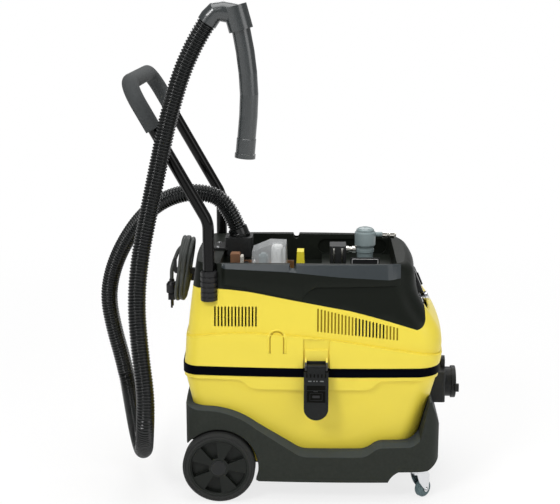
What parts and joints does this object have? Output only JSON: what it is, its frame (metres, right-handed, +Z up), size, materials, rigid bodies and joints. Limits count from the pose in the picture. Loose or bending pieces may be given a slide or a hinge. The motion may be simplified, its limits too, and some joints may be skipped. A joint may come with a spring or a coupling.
{
  "type": "mobile dust extractor",
  "caption": "Wheeled canister vacuum cleaner with a latched motor head, tool tray, push handle, suction hose with bent wand, and cable on a rear hook.",
  "frame": {"origin": "on the floor, in the middle of the machine's length and width without its cords", "axes": "+X towards the hose inlet at the front, +Y to the left of a person pushing it, +Z up"},
  "size_m": [0.8343, 0.4815, 1.0853],
  "materials": {
    "chassis_plastic": "fine grain",
    "tub_yellow": "satin",
    "seal_rubber": "matt",
    "tray_plastic": "fine grain",
    "wheel_plastic": "satin",
    "tyre_rubber": "matt",
    "dark_plastic": "satin",
    "steel": "brushed",
    "chrome": "polished",
    "caster_rubber": "matt",
    "tube_gloss": "gloss",
    "foam_grip": "matt foam",
    "sleeve_rubber": "matt",
    "motor_plastic": "matt",
    "filter_paper": "pleated",
    "unit_grey": "satin",
    "knob_black": "satin",
    "fitting_white": "gloss",
    "blister_clear": "clear sheet",
    "card_brown": "printed card",
    "accessory_yellow": "satin",
    "cable_rubber": "satin",
    "hose_plastic": "gloss"
  },
  "bodies": {
    "base": {"accessory_blister": "blister_clear", "accessory_card": "card_brown", "accessory_wedge": "accessory_yellow", "air_couplers": "fitting_white", "air_coupling": "chrome", "air_unit": "unit_grey", "cable_gland": "dark_plastic", "cable_hank": "cable_rubber", "cable_hook": "dark_plastic", "cable_lead": "cable_rubber", "cable_tail": "cable_rubber", "caster_plates": "chrome", "chassis": "chassis_plastic", "filter_cartridge": "filter_paper", "front_panel": "dark_plastic", "handle_grip": "foam_grip", "handle_sleeves": "sleeve_rubber", "handle_tube": "tube_gloss", "head_cover": "tub_yellow", "head_seal": "seal_rubber", "holder_screws": "steel", "hose": "hose_plastic", "hose_cuff": "hose_plastic", "hose_holder": "dark_plastic", "inlet_housing": "dark_plastic", "latch_brackets": "dark_plastic", "latch_pins": "steel", "motor_housing": "motor_plastic", "motor_plate": "motor_plastic", "power_plug": "cable_rubber", "rear_axle": "steel", "socket_body": "dark_plastic", "socket_lid_pin": "steel", "top_tray": "tray_plastic", "tub": "tub_yellow", "unit_screws": "steel", "valve_box": "dark_plastic", "valve_fittings": "fitting_white", "wand": "tube_gloss", "wand_cuff": "hose_plastic"},
    "wheel_right": {"wheel_right": "wheel_plastic", "tyre_right": "tyre_rubber", "hub_cap_right": "dark_plastic"},
    "wheel_left": {"wheel_left": "wheel_plastic", "tyre_left": "tyre_rubber", "hub_cap_left": "dark_plastic"},
    "caster_fork_right": {"caster_fork_right": "chrome", "caster_axle_right": "steel"},
    "caster_fork_left": {"caster_fork_left": "chrome", "caster_axle_left": "steel"},
    "caster_wheel_right": {"caster_wheel_right": "caster_rubber"},
    "caster_wheel_left": {"caster_wheel_left": "caster_rubber"},
    "latch_right": {"latch_lever_right": "dark_plastic"},
    "latch_left": {"latch_lever_left": "dark_plastic"},
    "inlet_cap": {"inlet_cap": "dark_plastic"},
    "socket_lid": {"socket_lid": "knob_black"},
    "power_switch": {"power_switch": "knob_black"},
    "suction_dial": {"suction_dial": "knob_black"},
    "regulator_knob": {"regulator_knob": "unit_grey"},
    "fan": {"fan_impeller": "motor_plastic"}
  },
  "joints": [
    {"name": "wheel_right_spin", "type": "hinge", "parent": "base", "child": "wheel_right", "pos_m": [-0.168, -0.182, 0.08], "axis": [0, 1, 0], "continuous": true},
    {"name": "caster_right_swivel", "type": "hinge", "parent": "base", "child": "caster_fork_right", "pos_m": [0.272, -0.16, 0.066], "axis": [0, 0, 1], "continuous": true},
    {"name": "caster_right_spin", "type": "hinge", "parent": "caster_fork_right", "child": "caster_wheel_right", "pos_m": [0.28402, -0.14798, 0.02], "axis": [-0.7071, 0.7071, 0], "continuous": true},
    {"name": "latch_right_swing", "type": "hinge", "parent": "base", "child": "latch_right", "pos_m": [0.045, -0.2045, 0.317], "axis": [-1, 0, 0], "range_deg": [0, 100]},
    {"name": "wheel_left_spin", "type": "hinge", "parent": "base", "child": "wheel_left", "pos_m": [-0.168, 0.182, 0.08], "axis": [0, 1, 0], "continuous": true},
    {"name": "caster_left_swivel", "type": "hinge", "parent": "base", "child": "caster_fork_left", "pos_m": [0.272, 0.16, 0.066], "axis": [0, 0, 1], "continuous": true},
    {"name": "caster_left_spin", "type": "hinge", "parent": "caster_fork_left", "child": "caster_wheel_left", "pos_m": [0.28402, 0.14798, 0.02], "axis": [0.7071, 0.7071, 0], "continuous": true},
    {"name": "latch_left_swing", "type": "hinge", "parent": "base", "child": "latch_left", "pos_m": [0.045, 0.2045, 0.317], "axis": [1, 0, 0], "range_deg": [0, 100]},
    {"name": "inlet_cap_swing", "type": "hinge", "parent": "base", "child": "inlet_cap", "pos_m": [0.353, 0.042, 0.219], "axis": [0, 0, 1], "range_deg": [0, 110]},
    {"name": "socket_lid_hinge", "type": "hinge", "parent": "base", "child": "socket_lid", "pos_m": [0.25356, -0.066, 0.50531], "axis": [0, -1, 0], "range_deg": [0, 95], "stiffness_Nm_per_rad": 0.01, "springref_deg": -28.65},
    {"name": "power_switch_turn", "type": "hinge", "parent": "base", "child": "power_switch", "pos_m": [0.26908, 0.01, 0.45761], "axis": [0.9232, 0, 0.3843], "range_deg": [0, 90]},
    {"name": "suction_dial_turn", "type": "hinge", "parent": "base", "child": "suction_dial", "pos_m": [0.26908, 0.066, 0.45761], "axis": [0.9232, 0, 0.3843], "range_deg": [0, 270]},
    {"name": "regulator_knob_turn", "type": "hinge", "parent": "base", "child": "regulator_knob", "pos_m": [0.15, -0.05, 0.587], "axis": [0, 0, 1], "range_deg": [0, 300]},
    {"name": "fan_spin", "type": "hinge", "parent": "base", "child": "fan", "pos_m": [0.037, 0, 0.38], "axis": [0, 0, 1], "continuous": true}
  ]
}
